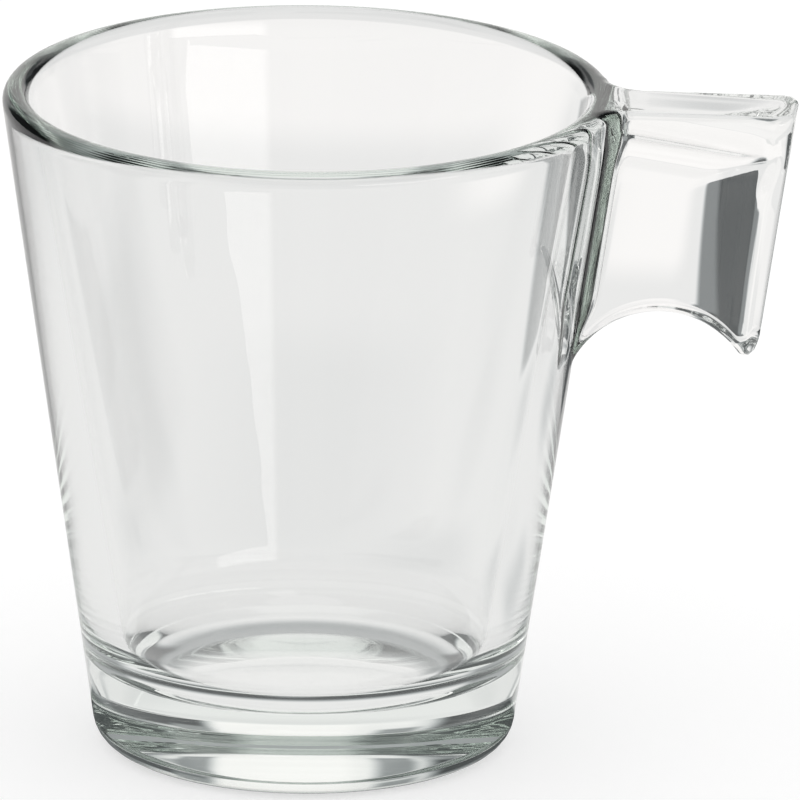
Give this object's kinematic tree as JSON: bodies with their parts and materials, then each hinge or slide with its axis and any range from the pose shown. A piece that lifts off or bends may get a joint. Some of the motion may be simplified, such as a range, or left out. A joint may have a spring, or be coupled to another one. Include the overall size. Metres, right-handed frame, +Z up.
{
  "type": "cortado glass",
  "caption": "Clear cortado glass: a tapered tumbler with a heavy base, a full-round lip and a solid pinch handle with dished sides and an arched underside.",
  "frame": {"origin": "centre of the foot ring, on the cup's axis, at the height of the surface that the glass stands on", "axes": "+Z up along the cup's axis, +X from the axis to the handle's outer end, the handle being symmetric about the XZ plane"},
  "size_m": [0.0885, 0.068, 0.0757],
  "materials": {
    "clear_glass": "clear soda-lime glass with a faint grey-green tint, pressed and fire-polished"
  },
  "bodies": {
    "root": {"cup_body": "clear_glass", "handle": "clear_glass"}
  },
  "joints": []
}
